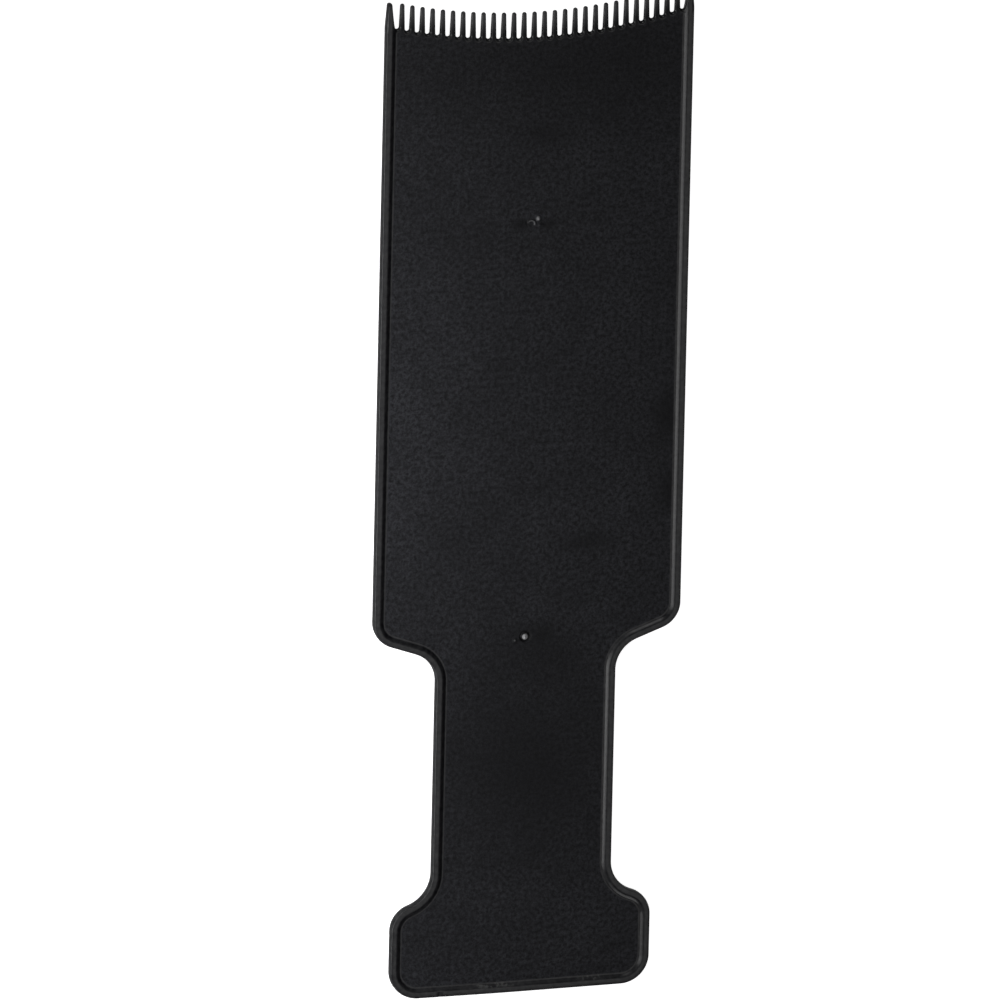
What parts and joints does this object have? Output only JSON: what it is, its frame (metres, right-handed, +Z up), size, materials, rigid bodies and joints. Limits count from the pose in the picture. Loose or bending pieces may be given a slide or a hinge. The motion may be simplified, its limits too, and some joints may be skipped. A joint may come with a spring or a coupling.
{
  "type": "hair colouring board",
  "caption": "Flat hair-colouring board: a rimmed blade with a concave comb edge at its far end, sloped shoulders, a narrower handle and a wider butt, for painting highlights onto hair.",
  "frame": {"origin": "under the middle of the board's bounding box, on the plane it rests on", "axes": "+X across the width, +Y along the length towards the comb, +Z up out of the working face"},
  "size_m": [0.095, 0.3112, 0.003],
  "materials": {
    "black_plastic": "fine spark-eroded mould texture, satin on the bead, with faint darker scuffs on the panel"
  },
  "bodies": {
    "root": {"blade_panel": "black_plastic", "blade_rim_left": "black_plastic", "blade_rim_right": "black_plastic", "butt_panel": "black_plastic", "butt_rim_end": "black_plastic", "butt_rim_left": "black_plastic", "butt_rim_right": "black_plastic", "comb_root": "black_plastic", "end_tooth_left": "black_plastic", "end_tooth_right": "black_plastic", "handle_panel": "black_plastic", "handle_rim_left": "black_plastic", "handle_rim_right": "black_plastic", "lower_gate_mark": "black_plastic", "neck_panel": "black_plastic", "neck_rim_left": "black_plastic", "neck_rim_right": "black_plastic", "shoulder_panel": "black_plastic", "shoulder_rim_left": "black_plastic", "shoulder_rim_right": "black_plastic", "tooth_01": "black_plastic", "tooth_02": "black_plastic", "tooth_03": "black_plastic", "tooth_04": "black_plastic", "tooth_05": "black_plastic", "tooth_06": "black_plastic", "tooth_07": "black_plastic", "tooth_08": "black_plastic", "tooth_09": "black_plastic", "tooth_10": "black_plastic", "tooth_11": "black_plastic", "tooth_12": "black_plastic", "tooth_13": "black_plastic", "tooth_14": "black_plastic", "tooth_15": "black_plastic", "tooth_16": "black_plastic", "tooth_17": "black_plastic", "tooth_18": "black_plastic", "tooth_19": "black_plastic", "tooth_20": "black_plastic", "tooth_21": "black_plastic", "tooth_22": "black_plastic", "tooth_23": "black_plastic", "tooth_24": "black_plastic", "tooth_25": "black_plastic", "tooth_26": "black_plastic", "tooth_27": "black_plastic", "tooth_28": "black_plastic", "upper_gate_mark": "black_plastic"}
  },
  "joints": []
}
